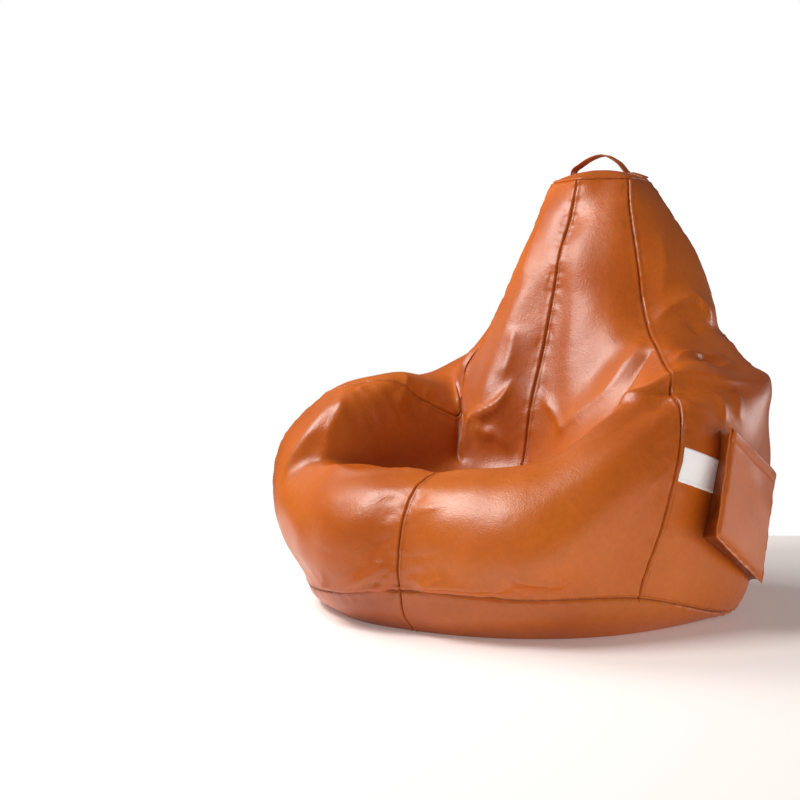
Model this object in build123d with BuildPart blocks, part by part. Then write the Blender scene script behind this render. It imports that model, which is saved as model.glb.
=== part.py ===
"""High-backed leather bean bag chair: a sewn cover over a bead-filled inner bag.

Millimetres, +Z up. The chair faces -Y. The origin is on the floor at the middle of the base.
Six gores run from a small six-sided top cap down to a round base made of two halves. Their
seams stand at azimuths of 0, 60, 120, 180, 240 and 300 degrees, from the front towards +X.
A zip closes the middle of the base's centre seam. A strap handle is sewn across the cap, and
a gusseted pouch pocket and a label are sewn on the right-hand side.
"""

from build123d import *

import os
from math import cos, radians, sin

# ---------------------------------------------------------------- driving dimensions
COVER = 1.2  # leather cover
LINER = 0.8  # woven inner bag
EASE = 0.2  # air between the cover, the inner bag and the beads

BASE_SEAM_Z = 72.0
# height, half width, half depth and centre of the lower bag's six-sided outline
CUSHION_SECTIONS = [
    (0.0, 352.0, 352.0, 0.0),
    (BASE_SEAM_Z, 400.0, 402.0, 0.0),
    (165.0, 428.0, 425.0, 4.0),
    (265.0, 438.0, 428.0, 5.0),
    (350.0, 428.0, 412.0, 16.0),
    (402.0, 394.0, 376.0, 26.0),
    (424.0, 324.0, 306.0, 34.0),
]
CUSHION_SWELL = 0.14  # how far a gore stands out between its seams, as a share of its radius
LEFT_FULLNESS = 1.03  # the left-hand arm is a little fuller than the right

CAP_Z = 815.0
CAP_R = 100.0
CAP_Y = 315.0
CAP_CROWN = 19.0
CAP_CROWN_SHARE = 0.55
# height, half width, half depth and centre of the backrest's outline
BACK_SECTIONS = [
    (CAP_Z, CAP_R, CAP_R, CAP_Y),
    (640.0, 222.0, 143.0, 289.0),
    (450.0, 338.0, 184.0, 248.0),
    (190.0, 318.0, 210.0, 180.0),
]
BACK_SWELL = 0.12

# height, half width, half depth and centre of the hollow that the sitter presses in
HOLLOW_SECTIONS = [
    (188.0, 118.0, 105.0, -128.0),
    (250.0, 205.0, 172.0, -148.0),
    (330.0, 246.0, 246.0, -196.0),
    (470.0, 292.0, 352.0, -252.0),
]

# zip in the base's centre seam, sunk into the base so that it stays off the floor
ZIP_LENGTH = 520.0
ZIP_RECESS_HALF = 17.0
ZIP_RECESS_Z = 7.5
ZIP_RECESS_END = 16.0
ZIP_SLOT_HALF = 7.0
ZIP_ROOM_Z = 16.0  # the inner bag stays this high over the zip
TAPE_THICK = 0.7
TAPE_OUTER_X = 15.0
ROW_INNER_X = 0.8
ROW_OUTER_X = 3.2
ROW_HEIGHT = 2.4
STOP_LENGTH = 3.0
SLIDER_LENGTH = 15.0
SLIDER_HALF = 5.2
SLIDER_PLATE = 1.2
SLIDER_CLEAR = 0.35
SLIDER_FROM_END = 11.0  # the closed slider's centre from the zip's rear end
POST_HALF = 0.45
POST_LENGTH = 3.0
BRIDGE_HALF = 0.8
BRIDGE_REACH = 4.2
BRIDGE_BAR = 1.0
BRIDGE_DROP = 2.9
PULL_DROP = 0.9  # the pull's pivot under the slider's outer plate
PULL_LENGTH = 26.0
PULL_HALF = 4.0
PULL_THICK = 1.2
PULL_EYE_HALF = 1.6
PULL_EYE_LENGTH = 6.0

# carrying handle: a strap sewn down at the left and right of the cap
STRAP_WIDTH = 26.0
STRAP_THICK = 3.0
HANDLE_Y = 340.0
HANDLE_END_X = 84.0
HANDLE_END_Z = 831.0
HANDLE_TOP_Z = 877.0
HANDLE_SPLIT_X = 60.0
HANDLE_GAP = 0.5

# pouch pocket on the right-hand gore, tipped back as the gore leans
POCKET_WIDTH = 228.0
POCKET_HEIGHT = 186.0
POCKET_FACE_X = 456.0
POCKET_CENTRE = (10.0, 210.0)  # Y and Z
POCKET_TILT = 22.0
POCKET_LEATHER = 2.0
POCKET_REACH = 90.0  # how far the gusset is drawn towards the bag before it is trimmed
POCKET_HEM_HEIGHT = 13.0
POCKET_HEM_THICK = 1.6
POCKET_WELT = 4.0

# label, sewn flat beside the right front seam
LABEL_WIDTH = 88.0
LABEL_HEIGHT = 58.0
LABEL_THICK = 0.8
LABEL_AZIMUTH = 67.0
LABEL_CENTRE_R = 430.0
LABEL_CENTRE_Y = 26.0
LABEL_Z = 278.0
LABEL_TILT = 18.0

# filling zip of the inner bag, on its base
LINER_ZIP_LENGTH = 420.0
LINER_ZIP_WIDTH = 24.0
LINER_ZIP_X = 120.0

SEAM_ANGLES = [0, 60, 120, 180, 240, 300]
HIGH = 1200.0  # larger than the chair, for cutting tools

ROW_Z = ZIP_RECESS_Z + COVER + TAPE_THICK / 2
SLIDER_Y = ZIP_LENGTH / 2 - SLIDER_FROM_END
SLIDER_FLOOR_Z = ROW_Z - ROW_HEIGHT / 2 - SLIDER_CLEAR
SLIDER_ROOF_Z = ROW_Z + ROW_HEIGHT / 2 + SLIDER_CLEAR
PULL_PIVOT_Z = SLIDER_FLOOR_Z - SLIDER_PLATE - PULL_DROP


def save(piece, label):
    """Labels a finished piece and writes its STEP file."""
    piece.part.label = label
    export_step(piece.part, f"parts/{label}.step")


# ---------------------------------------------------------------- the bag's shape
def draw_gore_outline(half_width, half_depth, centre_y, swell, left=1.0):
    """A closed line of six arcs, one for each gore, drawn inside a BuildLine."""
    centre = Vector(0, centre_y)
    corners = []
    for azimuth in SEAM_ANGLES:
        x = half_width * sin(radians(azimuth))
        y = centre_y - half_depth * cos(radians(azimuth))
        corners.append(Vector(x * left if x < 0 else x, y))
    for start, end in zip(corners, corners[1:] + corners[:1]):
        middle = (start + end) / 2
        ThreePointArc(start, centre + (middle - centre) * (1 + swell), end)


def cushion(inset):
    """The lower bag before the hollow is pressed in."""
    with BuildPart() as lower:
        for z, half_width, half_depth, centre_y in CUSHION_SECTIONS:
            level = z
            if z == CUSHION_SECTIONS[0][0]:
                level = z + inset
            elif z == CUSHION_SECTIONS[-1][0]:
                level = z - inset
            with BuildSketch(Plane.XY.offset(level)):
                with BuildLine():
                    draw_gore_outline(
                        half_width - inset,
                        half_depth - inset,
                        centre_y,
                        CUSHION_SWELL,
                        LEFT_FULLNESS,
                    )
                make_face()
        loft()
    return lower


def hollow(inset):
    """The space that the sitter takes, larger by the inset."""
    with BuildPart() as space:
        for z, half_width, half_depth, centre_y in HOLLOW_SECTIONS:
            level = z - inset if z == HOLLOW_SECTIONS[0][0] else z
            with BuildSketch(Plane.XY.offset(level)):
                with Locations((0, centre_y)):
                    Ellipse(half_width + inset, half_depth + inset)
        loft()
    return space


def backrest(inset):
    """The tall part of the bag, with the crowned cap on top."""
    with BuildPart() as back:
        for z, half_width, half_depth, centre_y in BACK_SECTIONS:
            with BuildSketch(Plane.XY.offset(z)):
                with BuildLine():
                    draw_gore_outline(half_width - inset, half_depth - inset, centre_y, BACK_SWELL)
                make_face()
        loft()
        for z, share in [(CAP_Z, 1.0), (CAP_Z + CAP_CROWN - inset, CAP_CROWN_SHARE)]:
            with BuildSketch(Plane.XY.offset(z)):
                with BuildLine():
                    reach = CAP_R * share - inset
                    draw_gore_outline(reach, reach, CAP_Y, BACK_SWELL)
                make_face()
        loft()
    return back


def bag(inset, recess_z):
    """The whole bag, set in from the cover's outside, with the zip's recess in its base."""
    lower = cushion(inset)
    space = hollow(inset)
    back = backrest(inset)
    with BuildPart() as whole:
        add(lower.part)
        add(space.part, mode=Mode.SUBTRACT)
        add(back.part)
        Box(
            2 * (ZIP_RECESS_HALF + inset),
            ZIP_LENGTH + 2 * (ZIP_RECESS_END + inset),
            recess_z,
            align=(Align.CENTER, Align.CENTER, Align.MIN),
            mode=Mode.SUBTRACT,
        )
    return whole


def seam_plane(azimuth):
    """The plane of a pair of gore seams: it holds the line from the base's centre to the cap's."""
    along = Vector(sin(radians(azimuth)), -cos(radians(azimuth)), 0)
    lean = Vector(0, CAP_Y, CAP_Z)
    return Plane(origin=(0, 0, 0), x_dir=along, z_dir=lean.cross(along))


def keep_between(low_z, high_z):
    """Cuts the part being built down to the layer between two heights."""
    with Locations((0, 0, (low_z + high_z) / 2)):
        Box(HIGH, HIGH, high_z - low_z, mode=Mode.INTERSECT)


# ---------------------------------------------------------------- cover
def make_cover(outer, inner):
    """The cap, the six gores and the two base halves, cut apart along their seams."""
    with BuildPart() as shell:
        add(outer.part)
        add(inner.part, mode=Mode.SUBTRACT)

    with BuildPart() as top_cap:
        add(shell.part)
        keep_between(CAP_Z, HIGH)
    save(top_cap, "top_cap")

    with BuildPart() as skirt:
        add(shell.part)
        keep_between(BASE_SEAM_Z, CAP_Z)
    # each gore lies on the positive or negative side of two neighbouring seam planes
    gores = {
        "front_right_panel": [(0, Keep.TOP), (60, Keep.BOTTOM)],
        "side_right_panel": [(60, Keep.TOP), (120, Keep.BOTTOM)],
        "rear_right_panel": [(0, Keep.TOP), (120, Keep.TOP)],
        "rear_left_panel": [(0, Keep.BOTTOM), (60, Keep.TOP)],
        "side_left_panel": [(60, Keep.BOTTOM), (120, Keep.TOP)],
        "front_left_panel": [(0, Keep.BOTTOM), (120, Keep.BOTTOM)],
    }
    for name, cuts in gores.items():
        with BuildPart() as gore:
            add(skirt.part)
            for azimuth, side in cuts:
                split(bisect_by=seam_plane(azimuth), keep=side)
        save(gore, name)

    with BuildPart() as base:
        add(shell.part)
        keep_between(-1, BASE_SEAM_Z)
        Box(2 * ZIP_SLOT_HALF, ZIP_LENGTH, 4 * ZIP_RECESS_Z, mode=Mode.SUBTRACT)
    for name, side in [("base_panel_right", Keep.TOP), ("base_panel_left", Keep.BOTTOM)]:
        with BuildPart() as half:
            add(base.part)
            split(bisect_by=Plane.YZ, keep=side)
        save(half, name)


# ---------------------------------------------------------------- inside the cover
def make_inner_bag(outer, inner):
    """The woven inner bag: its body, its base and the filling zip let into the base."""
    with BuildPart() as shell:
        add(outer.part)
        add(inner.part, mode=Mode.SUBTRACT)
    with BuildPart() as body:
        add(shell.part)
        keep_between(BASE_SEAM_Z, HIGH)
    save(body, "inner_bag_body")

    with BuildPart() as opening:
        with Locations((LINER_ZIP_X, 0, 0)):
            Box(LINER_ZIP_WIDTH, LINER_ZIP_LENGTH, 4 * (COVER + LINER))
    with BuildPart() as base:
        add(shell.part)
        keep_between(-1, BASE_SEAM_Z)
        add(opening.part, mode=Mode.SUBTRACT)
    save(base, "inner_bag_base")
    with BuildPart() as filling_zip:
        add(shell.part)
        add(opening.part, mode=Mode.INTERSECT)
    save(filling_zip, "inner_bag_zip")


# ---------------------------------------------------------------- zip
def make_zip():
    """Two tapes and two rows of coil, the end stops, the slider and its pull."""
    for name, side in [("left", -1), ("right", 1)]:
        with BuildPart() as tape:
            with Locations((side * (ROW_OUTER_X + TAPE_OUTER_X) / 2, 0, ROW_Z)):
                Box(TAPE_OUTER_X - ROW_OUTER_X, ZIP_LENGTH, TAPE_THICK)
        save(tape, f"zip_tape_{name}")
        with BuildPart() as row:
            with Locations((side * (ROW_INNER_X + ROW_OUTER_X) / 2, 0, ROW_Z)):
                Box(ROW_OUTER_X - ROW_INNER_X, ZIP_LENGTH - 2 * STOP_LENGTH, ROW_HEIGHT)
            outer_edges = row.edges().filter_by(Axis.Y)
            fillet(outer_edges, ROW_HEIGHT / 4)
        save(row, f"zip_coil_{name}")
    with BuildPart() as stops:
        with Locations(
            (0, (ZIP_LENGTH - STOP_LENGTH) / 2, ROW_Z), (0, -(ZIP_LENGTH - STOP_LENGTH) / 2, ROW_Z)
        ):
            Box(2 * ROW_OUTER_X, STOP_LENGTH, ROW_HEIGHT)
    save(stops, "zip_end_stops")

    lip = TAPE_THICK / 2 + SLIDER_CLEAR  # the flanges stop this far from the tape's middle
    with BuildPart() as slider:
        with BuildSketch(Plane.XZ.offset(-SLIDER_Y - SLIDER_LENGTH / 2)):
            with Locations((0, ROW_Z)):
                Rectangle(
                    2 * SLIDER_HALF, SLIDER_ROOF_Z - SLIDER_FLOOR_Z + 2 * SLIDER_PLATE
                )
                Rectangle(
                    2 * (ROW_OUTER_X + SLIDER_CLEAR),
                    SLIDER_ROOF_Z - SLIDER_FLOOR_Z,
                    mode=Mode.SUBTRACT,
                )
                Rectangle(2 * SLIDER_HALF, 2 * lip, mode=Mode.SUBTRACT)
        extrude(amount=SLIDER_LENGTH)
        plate_corners = slider.edges().filter_by(Axis.Z).group_by(Axis.Y)
        fillet(plate_corners[0] + plate_corners[-1], SLIDER_PLATE / 2)
        with Locations((0, SLIDER_Y - (SLIDER_LENGTH - POST_LENGTH) / 2, ROW_Z)):
            Box(2 * POST_HALF, POST_LENGTH, SLIDER_ROOF_Z - SLIDER_FLOOR_Z)
        plate_z = SLIDER_FLOOR_Z - SLIDER_PLATE
        with BuildSketch(Plane.YZ.offset(-BRIDGE_HALF)):
            with Locations((SLIDER_Y, plate_z)):
                Rectangle(2 * BRIDGE_REACH, BRIDGE_DROP, align=(Align.CENTER, Align.MAX))
                Rectangle(
                    2 * (BRIDGE_REACH - BRIDGE_BAR),
                    BRIDGE_DROP - BRIDGE_BAR,
                    align=(Align.CENTER, Align.MAX),
                    mode=Mode.SUBTRACT,
                )
        extrude(amount=2 * BRIDGE_HALF)
    save(slider, "zip_slider")

    eye_start_y = SLIDER_Y - PULL_THICK / 2
    with BuildPart() as pull:
        with BuildSketch(Plane.XY.offset(PULL_PIVOT_Z - PULL_THICK / 2)):
            with Locations((0, SLIDER_Y + PULL_THICK / 2)):
                Rectangle(2 * PULL_HALF, PULL_LENGTH - PULL_HALF, align=(Align.CENTER, Align.MAX))
            with Locations((0, SLIDER_Y + PULL_THICK / 2 - PULL_LENGTH + PULL_HALF)):
                Circle(PULL_HALF)
            with Locations((0, eye_start_y)):
                Rectangle(
                    2 * PULL_EYE_HALF,
                    PULL_EYE_LENGTH,
                    align=(Align.CENTER, Align.MAX),
                    mode=Mode.SUBTRACT,
                )
        extrude(amount=PULL_THICK)
    save(pull, "zip_pull")


# ---------------------------------------------------------------- handle
def make_handle(outer):
    """One strap in an arch: its free middle, and the two ends sewn down on the cap."""
    with BuildPart() as strap:
        with BuildSketch(Plane.XZ.offset(-HANDLE_Y - STRAP_WIDTH / 2)):
            with BuildLine():
                ThreePointArc(
                    (-HANDLE_END_X, HANDLE_END_Z),
                    (0, HANDLE_TOP_Z),
                    (HANDLE_END_X, HANDLE_END_Z),
                )
                offset(amount=-STRAP_THICK, side=Side.RIGHT, closed=True)
            make_face()
        extrude(amount=STRAP_WIDTH)
        add(outer.part, mode=Mode.SUBTRACT)
    with BuildPart() as arch:
        add(strap.part)
        Box(2 * HANDLE_SPLIT_X - HANDLE_GAP, HIGH, 2 * HIGH, mode=Mode.INTERSECT)
    save(arch, "handle_strap")
    with BuildPart() as ends:
        add(strap.part)
        Box(2 * HANDLE_SPLIT_X + HANDLE_GAP, HIGH, 2 * HIGH, mode=Mode.SUBTRACT)
    save(ends, "handle_sewn_ends")


# ---------------------------------------------------------------- pocket and label
def make_pocket(outer):
    """A face, a gusset round three sides, a hem at the mouth and a raised welt at the edges."""
    tilt = radians(POCKET_TILT)
    face_plane = Plane(
        origin=(POCKET_FACE_X, *POCKET_CENTRE),
        x_dir=(0, cos(tilt), -sin(tilt)),
        z_dir=(1, 0, 0),
    )
    with BuildPart() as face:
        with BuildSketch(face_plane):
            Rectangle(POCKET_WIDTH, POCKET_HEIGHT)
        extrude(amount=-POCKET_LEATHER)
    save(face, "pocket_face")

    with BuildPart() as gusset:
        with BuildSketch(face_plane.offset(-POCKET_LEATHER)):
            Rectangle(POCKET_WIDTH, POCKET_HEIGHT)
            with Locations((0, POCKET_LEATHER)):
                Rectangle(POCKET_WIDTH - 2 * POCKET_LEATHER, POCKET_HEIGHT, mode=Mode.SUBTRACT)
        extrude(amount=-POCKET_REACH)
        add(outer.part, mode=Mode.SUBTRACT)
    save(gusset, "pocket_gusset")

    with BuildPart() as hem:
        with BuildSketch(face_plane):
            with Locations((0, (POCKET_HEIGHT - POCKET_HEM_HEIGHT) / 2)):
                Rectangle(POCKET_WIDTH, POCKET_HEM_HEIGHT)
        extrude(amount=POCKET_HEM_THICK)
    save(hem, "pocket_hem")

    with BuildPart() as welt:
        with BuildSketch(face_plane):
            with Locations((0, -POCKET_WELT / 2)):
                Rectangle(POCKET_WIDTH + 2 * POCKET_WELT, POCKET_HEIGHT + POCKET_WELT)
            Rectangle(POCKET_WIDTH, POCKET_HEIGHT, mode=Mode.SUBTRACT)
        extrude(amount=-POCKET_LEATHER)
    save(welt, "pocket_welt")


def make_label(outer):
    """A thin label that follows the side's curve."""
    turn = radians(LABEL_AZIMUTH)
    outward = Vector(sin(turn), -cos(turn), 0)
    across = Vector(cos(turn), sin(turn), 0)
    tilt = radians(LABEL_TILT)
    label_plane = Plane(
        origin=Vector(0, LABEL_CENTRE_Y, LABEL_Z) + outward * LABEL_CENTRE_R,
        x_dir=across * cos(tilt) - Vector(0, 0, 1) * sin(tilt),
        z_dir=outward,
    )
    lifted = cushion(-LABEL_THICK)
    with BuildPart() as label:
        add(lifted.part)
        add(outer.part, mode=Mode.SUBTRACT)
        with BuildSketch(label_plane):
            Rectangle(LABEL_WIDTH, LABEL_HEIGHT)
        extrude(amount=POCKET_REACH, both=True, mode=Mode.INTERSECT)
    save(label, "label")


os.makedirs("parts", exist_ok=True)
cover_outside = bag(0, ZIP_RECESS_Z)
cover_inside = bag(COVER, ZIP_RECESS_Z + COVER)
liner_outside = bag(COVER + EASE, ZIP_ROOM_Z)
liner_inside = bag(COVER + EASE + LINER, ZIP_ROOM_Z + LINER)
beads = bag(COVER + 2 * EASE + LINER, ZIP_ROOM_Z + LINER + EASE)

make_cover(cover_outside, cover_inside)
make_inner_bag(liner_outside, liner_inside)
save(beads, "bead_fill")
make_zip()
make_handle(cover_outside)
make_pocket(cover_outside)
make_label(cover_outside)
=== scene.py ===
"""The looks of a high-backed leather bean bag chair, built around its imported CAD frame.

Outlines are written in millimetres, as the CAD is, and turned into metres by MM. The chair
faces -Y. The cover is one sculpted surface, cut along its seams into a cap, six gores and two
base halves. Everything sewn on it (pocket, label, strap, stitches) is laid on that surface.
"""

import math

import bpy
import numpy as np
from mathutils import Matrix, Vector
from mathutils.bvhtree import BVHTree


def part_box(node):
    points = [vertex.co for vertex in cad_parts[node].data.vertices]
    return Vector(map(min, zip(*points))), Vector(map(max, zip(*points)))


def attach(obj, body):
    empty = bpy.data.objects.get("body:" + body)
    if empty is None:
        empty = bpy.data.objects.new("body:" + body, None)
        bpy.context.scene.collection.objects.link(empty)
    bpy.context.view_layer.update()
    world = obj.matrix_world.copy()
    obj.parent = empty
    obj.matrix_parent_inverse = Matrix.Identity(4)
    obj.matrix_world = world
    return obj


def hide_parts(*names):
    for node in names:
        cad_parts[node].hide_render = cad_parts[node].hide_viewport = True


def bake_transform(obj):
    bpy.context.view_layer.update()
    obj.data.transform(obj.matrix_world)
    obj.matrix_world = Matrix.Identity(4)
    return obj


MM = 0.001

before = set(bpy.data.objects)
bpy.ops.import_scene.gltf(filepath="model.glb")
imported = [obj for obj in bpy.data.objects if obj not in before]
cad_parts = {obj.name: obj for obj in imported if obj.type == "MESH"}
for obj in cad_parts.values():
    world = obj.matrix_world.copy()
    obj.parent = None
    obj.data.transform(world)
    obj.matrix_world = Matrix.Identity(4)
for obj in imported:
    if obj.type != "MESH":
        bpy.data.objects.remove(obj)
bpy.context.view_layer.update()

# ---------------------------------------------------------------- the cover's outline
# Each meridian runs from the cap's rim down to the edge of the flat base, through the same
# sixteen levels. Seams lie on the meridians that a gore's name mentions.
BASE_SEAM, FLOOR_EDGE = 13, 15

FRONT = [
    (0, 217, 812), (0, 195, 744), (0, 146, 653), (0, 119, 575), (0, 85, 478), (0, 36, 375),
    (0, -12, 238), (0, -150, 196), (0, -300, 268), (0, -362, 249), (0, -393, 208), (0, -408, 158),
    (0, -411, 108), (0, -405, 79), (0, -397, 40), (0, -362, 2),
]
FRONT_RIGHT_MID = [
    (47, 238, 813), (59, 200, 745), (76, 153, 657), (90, 124, 570), (108, 86, 490),
    (126, 44, 420), (146, -48, 300), (162, -138, 270), (206, -240, 300), (228, -292, 285),
    (244, -332, 245), (250, -360, 190), (242, -372, 135), (205, -354, 76), (199, -346, 38),
    (181, -313, 2),
]
RIGHT_FRONT = [
    (91, 262, 813), (114, 223, 745), (144, 191, 659), (168, 169, 562), (207, 121, 504),
    (243, 76, 478), (270, 40, 457), (293, 7, 446), (322, -40, 436), (338, -70, 400),
    (366, -98, 383), (380, -128, 325), (366, -158, 205), (338, -192, 68), (331, -190, 34),
    (310, -180, 2),
]
RIGHT_MID = [
    (95, 312, 815), (137, 284, 749), (188, 270, 662), (241, 240, 559), (268, 192, 504),
    (293, 148, 477), (322, 128, 458), (352, 118, 440), (396, 108, 421), (414, 94, 396),
    (424, 84, 362), (434, 70, 285), (420, 62, 175), (392, 54, 12), (387, 52, 7), (376, 50, 2),
]
REAR_RIGHT = [
    (89, 365, 814), (135, 366, 750), (190, 364, 667), (234, 353, 562), (256, 325, 512),
    (298, 300, 486), (330, 278, 462), (358, 258, 445), (391, 246, 425), (396, 242, 400),
    (393, 238, 366), (398, 238, 285), (384, 226, 180), (340, 196, 34), (332, 190, 16),
    (316, 180, 2),
]
REAR_RIGHT_MID = [
    (45, 392, 813), (66, 412, 750), (98, 428, 666), (130, 440, 562), (142, 440, 508),
    (156, 436, 478), (170, 432, 456), (186, 428, 434), (204, 424, 410), (214, 424, 388),
    (222, 426, 356), (230, 426, 275), (226, 414, 172), (203, 352, 70), (197, 343, 36),
    (178, 308, 2),
]
REAR = [
    (0, 413, 812), (0, 424, 749), (0, 436, 664), (0, 444, 560), (0, 445, 506), (0, 444, 476),
    (0, 443, 452), (0, 442, 428), (0, 443, 404), (0, 446, 382), (0, 449, 352), (0, 450, 270),
    (0, 440, 170), (0, 404, 74), (0, 397, 38), (0, 360, 2),
]
REAR_LEFT_MID = [
    (-45, 392, 813), (-64, 410, 748), (-94, 424, 662), (-124, 434, 560), (-140, 434, 508),
    (-154, 430, 478), (-168, 426, 456), (-186, 424, 436), (-204, 422, 412), (-214, 424, 390),
    (-222, 426, 358), (-232, 426, 275), (-228, 412, 172), (-203, 352, 72), (-197, 343, 36),
    (-178, 308, 2),
]
REAR_LEFT = [
    (-87, 364, 814), (-117, 356, 746), (-158, 350, 658), (-204, 340, 560), (-230, 322, 508),
    (-254, 300, 474), (-282, 282, 448), (-310, 268, 424), (-336, 258, 398), (-352, 250, 376),
    (-366, 246, 346), (-384, 242, 270), (-405, 237, 180), (-352, 203, 74), (-345, 198, 38),
    (-312, 180, 2),
]
LEFT_MID = [
    (-92, 313, 814), (-108, 282, 744), (-132, 252, 654), (-156, 216, 566), (-180, 176, 506),
    (-204, 142, 462), (-238, 118, 430), (-280, 98, 412), (-330, 82, 406), (-372, 74, 392),
    (-414, 66, 366), (-446, 42, 285), (-449, 32, 185), (-402, 20, 74), (-393, 18, 38),
    (-352, 15, 2),
]
LEFT_FRONT = [
    (-82, 264, 812), (-92, 232, 742), (-108, 184, 652), (-124, 142, 572), (-138, 99, 492),
    (-162, 58, 426), (-150, 12, 344), (-184, -60, 374), (-214, -118, 414), (-262, -152, 412),
    (-322, -188, 388), (-391, -228, 305), (-406, -240, 195), (-352, -206, 60), (-344, -200, 30),
    (-322, -190, 2),
]
LIP_CORNER = [
    (-62, 250, 812), (-78, 216, 743), (-98, 166, 652), (-112, 128, 572), (-126, 86, 490),
    (-134, 44, 412), (-134, -18, 268), (-198, -156, 242), (-262, -252, 332), (-284, -272, 328),
    (-312, -298, 292), (-334, -318, 222), (-326, -316, 142), (-290, -280, 42), (-286, -274, 22),
    (-268, -256, 2),
]
LIP_LEFT = [
    (-51, 244, 812), (-66, 210, 743), (-83, 159, 652), (-95, 121, 572), (-107, 81, 488),
    (-116, 38, 404), (-122, -28, 250), (-206, -206, 238), (-262, -290, 267), (-276, -304, 262),
    (-290, -322, 244), (-298, -342, 212), (-292, -346, 142), (-236, -330, 46), (-232, -322, 25),
    (-216, -300, 2),
]
FRONT_LEFT_MID = [
    (-40, 238, 812), (-54, 203, 743), (-68, 151, 652), (-77, 114, 573), (-88, 76, 485),
    (-98, 30, 400), (-106, -26, 246), (-124, -150, 204), (-150, -302, 270), (-172, -358, 250),
    (-188, -388, 208), (-196, -401, 158), (-194, -402, 112), (-170, -370, 54), (-168, -362, 28),
    (-160, -336, 2),
]
# azimuth of each meridian, from the front towards +X
MERIDIANS = {
    0: FRONT, 30: FRONT_RIGHT_MID, 60: RIGHT_FRONT, 90: RIGHT_MID, 120: REAR_RIGHT,
    150: REAR_RIGHT_MID, 180: REAR, 210: REAR_LEFT_MID, 240: REAR_LEFT, 270: LEFT_MID,
    300: LEFT_FRONT, 318: LIP_CORNER, 327: LIP_LEFT, 335: FRONT_LEFT_MID,
}
GORES = {
    "front_right_panel": 0, "side_right_panel": 60, "rear_right_panel": 120,
    "rear_left_panel": 180, "side_left_panel": 240, "front_left_panel": 300,
}
GORE_WIDTH = 60  # degrees

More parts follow.
